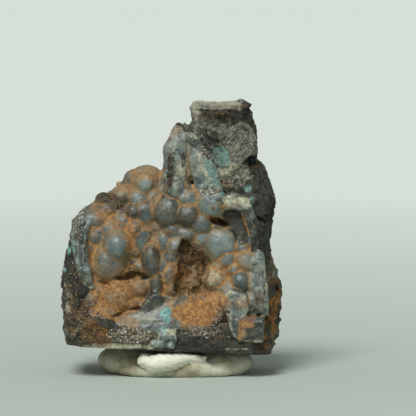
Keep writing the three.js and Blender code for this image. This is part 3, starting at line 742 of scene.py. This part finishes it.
plateLook = {
    "rings": 18,
    "around": 150,
    "rim": 0.6,  # how much of the thickness the rounded front takes up
    # dust, and at x 20, z 15.2 painted shadow in the gap above the lower blade
    "dust": [
        (0.6, 60.8, 1.8, 1.2, 0.45), (14.2, 42, 2.6, 0.3, 0.9), (18.1, 37.4, 0.3, 3.8, -20, 0.85),
        (19, 23.6, 0.5, 5, 0.6), (6.2, 16, 6.6, 3.6, 1), (10.6, 19, 3.4, 2.6, 0.9),
        (-12, 14.6, 4, 1.6, 20, 0.6), (18.7, 13.3, 1.9, 0.8, 0.75), (17.5, 11.3, 0.8, 1.2, 0.65),
        (20, 15.2, 3, 0.35, 0.5), (16.6, 12, 0.4, 3.4, 0.7), (21, 19, 1.4, 3, 0.3), (17, 18.6, 2, 1.6, 0.5),
        (3.6, 50, 0.5, 8, 4, 0.42), (-1.4, 60, 1.6, 1.6, 0.6), (12, 42.2, 1.5, 0.9, 0.6),
        (-0.6, 18.4, 2, 1, -20, 0.6),
    ],
    # dark: black film, and at x 3.8 painted shade in the gap between the tongues
    "dark": [
        (-0.6, 51.4, 0.8, 4.6, 2, 0.9), (15.4, 38, 2.9, 4.6, -24, 1), (-22.6, 30, 0.5, 7, -4, 0.6),
        (2.6, 53.5, 0.6, 2.6, 0.55), (6.2, 57.6, 1.6, 1, -30, 0.5), (16.4, 12.6, 0.9, 2.6, 0.6),
        (-22.2, 26.2, 1.1, 3, -4, 0.45), (3.8, 47.4, 0.7, 3.4, -8, 0.6), (18.4, 12.2, 0.5, 0.5, 0.8),
    ],
    "pale": [
        (20, 9.3, 2.4, 0.4, 0.6), (23, 24, 0.3, 7, -5, 0.7), (-21.4, 22.2, 1.8, 0.4, 0.8),
        (14.6, 43.4, 2.8, 1.5, -6, 0.65), (17.8, 43.2, 1.7, 1.5, 0.7), (8.1, 51.2, 0.7, 3.4, -30, 0.7),
        (-7.5, 15.6, 5, 0.8, 18, 0.5), (-0.6, 11.6, 1.8, 0.8, 0.8), (2.2, 51.6, 1.2, 3, 0.62),
    ],
    "turquoise": [
        (9.6, 50.2, 0.9, 4, -32, 0.62), (8.6, 52.6, 0.9, 1, -30, 0.6), (-1.6, 15.6, 1.4, 2, 0.8),
        (-2, 12.2, 1, 1, 0.6), (-25.1, 31.4, 1, 1.1, 1), (-24.6, 33.6, 0.6, 0.8, 0.5),
        (12.4, 45.2, 0.7, 0.9, 0.6),
    ],
    "rust": [(7.7, 55.2, 0.5, 0.45, 0.9), (18, 14.4, 2.4, 0.5, 0.7)],
}


def plateShell(outline, front, back, lean, pillow):
    # rings of the outline shrunk towards its middle: across the round front, down the rim, across the back
    # the front falls away as a power curve, which is an ellipse at pillow 2 and squarer above
    corners = np.array(outline + outline[:1])
    length = np.r_[0, np.cumsum(np.hypot(*np.diff(corners, axis=0).T))]
    at = np.linspace(0, length[-1], plateLook["around"], endpoint=False)
    rim = np.column_stack([np.interp(at, length, corners[:, i]) for i in (0, 1)])
    middle = rim.mean(0)
    n = plateLook["rings"]
    share = np.r_[np.sin(np.linspace(0, np.pi / 2, n)), np.ones(n // 2), np.linspace(0.98, 0, n // 3)]
    thick = back - front
    rounded = plateLook["rim"] * thick
    drop = np.r_[rounded * (1 - (1 - share[:n] ** pillow) ** (1 / pillow)),
                 np.linspace(rounded, thick, n // 2 + 1)[1:], np.full(n // 3, thick)]
    flat = middle + share[:, None, None] * (rim - middle)[None]
    depth = front + drop[:, None] + lean * (flat[..., 1] - rim[:, 1].min()) * (1 - drop / thick)[:, None]
    points = np.stack((flat[..., 0], depth, flat[..., 1]), -1)
    if np.cross(corners[1] - corners[0], corners[2] - corners[1]) > 0:
        points = points[:, ::-1]
    return points.reshape(-1, 3), gridFaces(len(share), plateLook["around"])


def outlineDistance(points, outline):  # in the front view, to a closed outline: negative inside
    ends = np.array(outline, float)
    at = points[:, [0, 2]]
    nearest, inside = np.full(len(points), np.inf), np.zeros(len(points), bool)
    for start, end in zip(np.roll(ends, 1, axis=0), ends):
        side = end - start
        along = np.clip((at - start) @ side / (side @ side), 0, 1)
        nearest = np.minimum(nearest, np.hypot(*(at - start - along[:, None] * side).T))
        crossing = start[0] + side[0] * (at[:, 1] - start[1]) / (side[1] + 1e-9)
        inside ^= ((start[1] > at[:, 1]) != (end[1] > at[:, 1])) & (at[:, 0] < crossing)
    return np.where(inside, -nearest, nearest)


def nearestLumps(points, table):
    # the lump that each point is on, and how near it is to where two lumps and three lumps are equally near
    depths = lumpDepths(points, table)
    order = np.argpartition(depths, 2, axis=1)[:, :3]
    near = np.take_along_axis(depths, order, 1)
    rank = np.argsort(near, axis=1)
    near = np.take_along_axis(near, rank, 1)
    owner = np.take_along_axis(order, rank, 1)[:, 0]
    gap = near[:, 1] - near[:, 0]
    seam, skirt = bell(gap, crust["seam"]), bell(gap, crust["skirt"])
    knot = bell(near[:, 2] - near[:, 0], 3 * crust["seam"])
    return owner, seam, skirt, knot


def lumpLook(points, table):
    # clay and dust fill the seams, most where three lumps meet; the pocket and crevice are rough, dark with
    # grit and painted shade
    owner, seam, skirt, knot = nearestLumps(points, table)
    own = table[owner]
    ownTone, ownDust = own[:, 8], own[:, 9]
    y = points[:, 1]
    marks = {name: patchMask(points, crust[name]) for name in markNames}
    low = ramp(y, -9, -6.8)
    patchy = 0.75 + 0.5 * softNoise(points, 4.5, 2)
    fill = (0.2 * seam + 0.25 * skirt + 0.2 * knot) * patchy + 0.12 * low + 0.12 * softNoise(points, 2.2, 2)
    clay = np.clip(1.5 * fill + 0.4 * (owner == 0), 0, 1)
    dust = 0.6 * seam * patchy + fill * (0.4 + 0.5 * softNoise(points, 6, 3)) + ownDust * 0.6
    dust = np.clip(np.maximum(dust, 0.9 * marks["dust"] + 0.2 * seam), 0, 1)
    dust = dust * (1 - patchMask(points, crust["clean"]))
    # rust in the seams, and painted shade in the crevices between lumps, stronger in the deep parts
    rust = np.maximum(marks["rust"], seam * (0.22 + 0.4 * low))
    rust = np.maximum(rust, 0.5 * dust * clouded(points, 3.2, 0, -0.1, 0.9))
    grit = ownDust * 0.12 + 0.05
    lift = grit * softNoise(points, 0.8, 1) + 0.26 * softNoise(points, 2.8, 3) - 0.1 * seam
    cave = np.maximum(patchMask(points, crust["pocket"]) * ramp(y, -9.4, -8),
                      patchMask(points, crust["crevice"]) * ramp(y, -11.5, -10))
    lift += cave * (0.6 * softNoise(points, 1.5, 2) + 0.4 * softNoise(points, 0.9, 3))
    dust = dust * (1 - 0.5 * cave) + 0.3 * cave
    # painted shade over the dark grit of the pocket and crevice
    dark = np.maximum(marks["dark"], cave * (0.4 + 0.3 * softNoise(points, 1.5, 1)))
    # each lump's front has a cool core, an olive ring round it and a thin line of dust round that
    local = turned(points - own[:, :3], -own[:, 7]) / own[:, 3:6]
    ring = np.hypot(local[:, 0], local[:, 2]) + 0.1 * softNoise(points, 1.5, 2)
    free = (owner >= slabs) * (1 - 0.7 * clouded(points, 3.5, 3, 0.1, 0.6))
    at, wide, strength = crust["halo"]
    olive = ramp(ring, 0.4, 0.75)
    dust = np.clip(dust + strength * bell(ring - at, wide) * free - 0.1 * (1 - olive), 0, 1)
    tone = ownTone - 0.03 + 0.1 * softNoise(points, 1.8, 1) - 0.16 * seam - 0.12 * skirt + 0.08 * (1 - olive)
    # painted shade on the lumps of the upper left
    tone -= patchMask(points, crust["slope"])
    marks.update(clay=clay, dust=dust, rust=rust, dark=dark, tone=tone)
    return marks, lift, olive


def plateLooks(points, marks, lift, olive):
    # plates take over from the lumps inside their outlines, chipped, with fibres and a pale rim
    tone = marks["tone"]
    streaks, covered = np.zeros((2, len(points)))
    plated = {name: patchMask(points, plateLook[name]) for name in markNames}
    chips = 0.34 * chipNoise(points, 3.2, 1) + 0.16 * chipNoise(points, 1.5, 2)
    mottled = 0.3 * softNoise(points, 1.4, 1) + 0.4 * chipNoise(points, 1.5, 2)
    for plate in plates.values():
        far = outlineDistance(points, plate["outline"]) + 0.15 * softNoise(points, 1.2, 3)
        here = (1 - ramp(far, -0.25, 0.3)) * (1 - ramp(points[:, 1], plate["back"] - 1.5, plate["back"]))
        rim = bell(far + 0.35, 0.4) * (0.6 + 0.5 * softNoise(points, 1.6, 2))
        for name in markNames:
            marks[name] = marks[name] * (1 - here) + plated[name] * here
        marks["clay"] *= 1 - 0.8 * here
        marks["dust"] -= 0.12 * here
        marks["pale"] = np.maximum(marks["pale"], plate["edge"] * rim * here)
        streaks = streaks * (1 - here) + plate["streaks"] * here
        tone = tone * (1 - here) + (plate["tone"] + mottled * plate["chips"]) * here
        lift = lift * (1 - here) + plate["chips"] * chips * here
        covered = np.maximum(covered, here)
    stain = 0.85 * olive * (1 - covered) + 0.3 * covered - 0.15 + 0.2 * softNoise(points, 4, 1)
    marks.update(tone=tone, streaks=streaks, stain=stain * ramp(tone, 0.05, 0.5))
    return marks, lift


def makeCrust():
    # all lumps and plates in one skin, which stands out by the relief of the lump or plate at each point
    table = np.vstack((lumps, smallRows()))
    start, end, less = crust["bigness"]
    big = ramp(table[slabs:, [3, 5]].mean(1), start, end)
    table[slabs:, [3, 5]] *= crust["fullness"] - less * big[:, None]
    shells, faces = lumpShells(table)
    for plate in plates.values():
        points, quads = plateShell(*(plate[part] for part in ("outline", "front", "back", "lean", "pillow")))
        faces = np.vstack((faces, quads + len(shells)))
        shells = np.vstack((shells, points))
    mesh = skinned("chalcedonyLumps", shells, faces, crust["voxel"], 1, pocketHollow)
    points, normals = arraysOf(mesh)
    marks, lift = plateLooks(points, *lumpLook(points, table))
    points = points + normals * lift[:, None]
    finished("chalcedonyLumps", mesh, points, marks, chalcedony, ["chalcedony_crust"])
    return points, normals


skins.append(makeCrust())

# Fine crystals

# Drusy quartz: points of clear to smoky quartz a third of a millimetre wide, glassy, with dust between them
drusyQuartz = stoneMaterial(
    "drusyQuartz",
    {"colours": ("#121310", "#3f3f38", "#87877a", "#d6d5c6"), "cloud": 1.2, "mottle": 0.3, "rough": 0.3},
    {"dust": dustLayer, "turquoise": blueLayer},
    0.5, {"sizes": {0.5: 1.0}, "depth": 0.05})

grain = {
    "cell": 0.6,  # the front is searched in squares of this size, mm
    "behind": 0.7,  # how far a point may lie behind the nearest one in its square, mm
    "points": (1.5, -0.7),  # how far a grain's two tips reach, in its radii
    "sunk": 0.3,  # how deep it is bedded, in its radii
    "askew": 0.45,
    "sizes": (0.55, 1.35),
}
# Each zone on the front: x, z, wide, tall, tilt, grains, their size, tone from and to, dust, turquoise
druse = {
    "ledgeFringe": (8, 11.4, 6.4, 1.5, 10, 1700, 0.2, 0.25, 0.95, 0.25, 0),
    "domeSide": (13, 15.4, 1, 3.4, 0, 420, 0.2, 0.1, 0.7, 0.2, 0),
    "ledgeDruse": (-10.4, 10.8, 5.6, 2, 0, 1900, 0.24, 0, 1.2, 0.25, 0),
    "tongueStripe": (-0.4, 51.2, 1, 4.8, 2, 420, 0.22, -0.2, 0.7, 0, 0),
    "tongueFoot": (9.4, 46, 2.8, 1, 0, 240, 0.22, 0.2, 1.0, 0, 0.1),
    "between": (9.6, 56.6, 3, 2.4, -40, 700, 0.22, -0.2, 0.9, 0, 0.15),
    "underHorn": (15.6, 49.4, 3.8, 3, 0, 1300, 0.22, 0.3, 1, 0, 0.1),
    "leftFlank": (-24.8, 20, 2.8, 9, 0, 300, 0.2, -0.1, 0.65, 0.25, 0),
    "lowerLeft": (-21.5, 13, 4.4, 5, 0, 350, 0.2, -0.1, 0.8, 0.2, 0),
    "caveTop": (4.2, 30.4, 3.6, 2.8, 0, 900, 0.22, -0.1, 0.6, 0.35, 0),
    "caveFoot": (4.4, 20.8, 4.4, 1.8, 0, 600, 0.22, 0, 0.7, 0.5, 0),
    "capRecess": (10.8, 65, 4.2, 1, 0, 500, 0.2, 0, 0.8, 0.3, 0),
    "blueSparks": (6, 59.6, 1.8, 1.2, 0, 260, 0.2, 0.5, 1.1, 0, 0.1),
    "crevice": (-10, 25.6, 3.8, 2, 0, 500, 0.2, -0.1, 0.6, 0.6, 0),
    "caveSide": (7.2, 26, 1.8, 4, 0, 500, 0.22, -0.1, 0.6, 0.4, 0),
    "fringeRight": (11.4, 14.4, 1.4, 4.4, 32, 900, 0.2, 0.2, 0.9, 0.2, 0),
    "rindTop": (-23.4, 36.6, 1.4, 3, 0, 260, 0.2, 0.25, 0.9, 0, 0),
    "hornBlue": (11.4, 54.2, 1.7, 3.8, -30, 900, 0.2, 0.3, 1, 0.1, 0.62),
    "upperSlope": (-15.5, 43.6, 6, 1.6, 30, 600, 0.2, 0.1, 0.6, 0.15, 0),
    "rustyLumps": (-13.6, 19.6, 6, 4.6, 0, 1500, 0.13, 0, 0.8, 0.9, 0),
    "ledgeTop": (6.4, 15.8, 6.6, 3.6, 0, 2200, 0.13, 0, 0.8, 0.9, 0),
    "crust": (-4, 33, 17, 15, 0, 1400, 0.11, 0.2, 0.9, 0.8, 0),
    "bigLump": (-15.6, 27, 3.4, 3.6, 0, 900, 0.13, 0.4, 0.8, 0.4, 0),
    "tongueBlue": (10, 50, 1, 4, -30, 500, 0.16, 0.4, 0.9, 0, 0.8),
}


def frontOf(skins):  # the points of the skins that nothing stands in front of, with their normals
    points, normals = (np.vstack(parts) for parts in zip(*skins))
    middle, cells = 60, 400
    across, up = (np.floor(points[:, [0, 2]] / grain["cell"]).astype(int) + middle).T
    square = across * cells + up
    nearest = np.full(cells * cells, np.inf)
    np.minimum.at(nearest, square, points[:, 1])
    seen = (points[:, 1] < nearest[square] + grain["behind"]) & (normals[:, 1] < 0.2)
    return points[seen], normals[seen]


def makeDruse(skins):
    # eight-faced points along the skins' normals, at seeded places of each zone
    points, normals = frontOf(skins)
    top, bottom = grain["points"]
    corners = np.array([(1, 0, 0), (0, 1, 0), (-1, 0, 0), (0, -1, 0), (0, 0, top), (0, 0, bottom)])
    sides = np.array([(0, 1, 4), (1, 2, 4), (2, 3, 4), (3, 0, 4), (1, 0, 5), (2, 1, 5), (3, 2, 5), (0, 3, 5)])
    shells, marks = [], {"tone": [], "dust": [], "turquoise": []}
    for *ellipse, count, size, low, high, dusty, blue in druse.values():
        far = ellipseFar(points, *ellipse)
        inside = np.flatnonzero(far < chance.uniform(0.6, 1.2, len(points)))
        picked = chance.choice(inside, min(count, len(inside)), replace=False)
        number = len(picked)
        axis = normals[picked] + grain["askew"] * chance.normal(size=(number, 3))
        axis /= np.linalg.norm(axis, axis=1, keepdims=True)
        side = np.cross(axis, chance.normal(size=(number, 3)))
        side /= np.linalg.norm(side, axis=1, keepdims=True)
        other = np.cross(axis, side)
        scale = size * chance.uniform(*grain["sizes"], (number, 1, 1))
        turns = np.stack((side, other, axis), 1)
        local = np.einsum("kc,ncd->nkd", corners - (0, 0, grain["sunk"]), turns)
        shells.append(points[picked][:, None] + scale * local)
        # painted shade: grains deep in the hollows are darker
        deep = ramp(points[picked][:, 1], -9.5, -6)
        for mark, values in (("tone", chance.uniform(low, high, number) - 0.35 * deep),
                             ("dust", np.clip(dusty + chance.uniform(-0.35, 0.35, number), 0, 1)),
                             ("turquoise", blue * chance.uniform(0.3, 1.2, number))):
            marks[mark].append(np.repeat(values, len(corners)))
    shells = np.concatenate(shells)
    faces = sides[None] + (np.arange(len(shells)) * len(corners))[:, None, None]
    flat = shells.reshape(-1, 3)
    marks = {mark: np.concatenate(values) for mark, values in marks.items()}
    finished("drusyGrains", meshOf("drusyGrains", flat, faces.reshape(-1, 3)), flat, marks, drusyQuartz,
             smooth=False)


makeDruse(skins)

# Putty

putty = {
    "voxel": 0.4,
    "lobes": np.array([
        (-9.6, -3.4, 3.3, 9, 8.4, 4.4, 2, 0), (11.6, -4.6, 2.6, 8.8, 8, 4.2, 2, 0),
        (1.5, 1.8, 2.6, 13.4, 9.6, 4.4, 2, 0), (1.2, -8.8, 1.4, 14.6, 6, 2.3, 2.4, 0),
        (4.4, -10.4, 2.2, 7.4, 4.6, 2.9, 2, 6), (8.6, -11.2, 1.9, 2.6, 3.2, 1.9, 2, 30),
    ]),
    # the roll's middle line and how thick it is there: x, y, z, radius
    "roll": np.array([
        (-5.2, -14, 3.7, 2), (-4, -14.8, 3.6, 2.4), (-1.6, -15, 3.9, 2.3), (1.4, -14.8, 4.5, 1.8),
        (4.4, -14.2, 5, 1.2), (8, -13, 4.8, 0.6),
    ]),
    "beads": 22,  # round lumps that make up the roll
    "nub": (-7, -14, 4.4, 1.8, 1.8, 1.75, 2, 0),  # its near end
    "slant": 20,  # turn of the ridges, degrees
    "ridge": 0.42,  # width of a skin ridge pressed in the putty, mm
}

# Mounting putty: soft white modelling putty, rolled and pressed by hand, with a faint satin skin
puttyMaterial = stoneMaterial(
    "handPressedPutty",
    {"colours": ("#b4b39a", "#dad9c5", "#efeedf"), "cloud": 5, "mottle": 0.25, "rough": 0.55},
    # its dust layer is grime and painted shade: dull grey on the lobes and between the ridges
    {"dust": {"dark": "#8b8468", "light": "#b0ab90", "grit": 1.2, "ragged": 0.6, "soft": 0.3, "rough": 0.8}},
    0.45, {"sizes": {2.5: 0.7, 0.8: 0.3}, "depth": 0.12}, flesh=0.15)


def makePutty():
    # flattened lobes and a rolled fold, with ridges along the fold
    knots = len(putty["roll"])
    along = np.linspace(0, knots - 1, putty["beads"])
    beads = np.column_stack([np.interp(along, range(knots), column) for column in putty["roll"].T])
    thick = beads[:, 3:]
    rolled = np.hstack((beads[:, :3], thick, thick, thick * 0.95, 2 + 0 * thick, 0 * thick))
    table = np.vstack((putty["lobes"], rolled, putty["nub"]))
    mesh = skinned("puttyWad", *lumpShells(table), putty["voxel"], 2)
    points, normals = arraysOf(mesh)
    depths = lumpDepths(points, table)
    lobe = depths[:, :len(putty["lobes"])].min(1)
    onRoll = ramp(lobe - depths[:, len(putty["lobes"]):].min(1), -0.1, 0.3)
    across = turned(points, -putty["slant"])[:, 2]
    wander = 1.1 * softNoise(points, 4, 1) + 0.25 * softNoise(points, 1.6, 2)
    ridges = np.sin(2 * np.pi * (across + wander) / (2 * putty["ridge"]))
    pressed = np.maximum(onRoll, 0.35 * (1 - ramp(points[:, 1], -11, -8)))
    lift = 0.09 * pressed * ridges + 0.3 * softNoise(points, 4, 2) + 0.12 * softNoise(points, 1.8, 3)
    points = points + normals * lift[:, None]
    points[:, 2] = np.clip(points[:, 2], 0, sawnAt(points) + 0.1)
    # grime, and painted shade: less dust on the lit roll and the ridge crests, more on the lobes
    dusty = 0.54 + 0.4 * softNoise(points, 5, 1) - 0.75 * onRoll - 0.2 * ridges * pressed
    # painted light: the roll and the ridge crests are lighter
    marks = {"tone": 0.38 + 0.3 * onRoll + 0.1 * ridges * pressed, "dust": dusty}
    finished("puttyWad", mesh, points, marks, puttyMaterial, ["mounting_putty"])


makePutty()
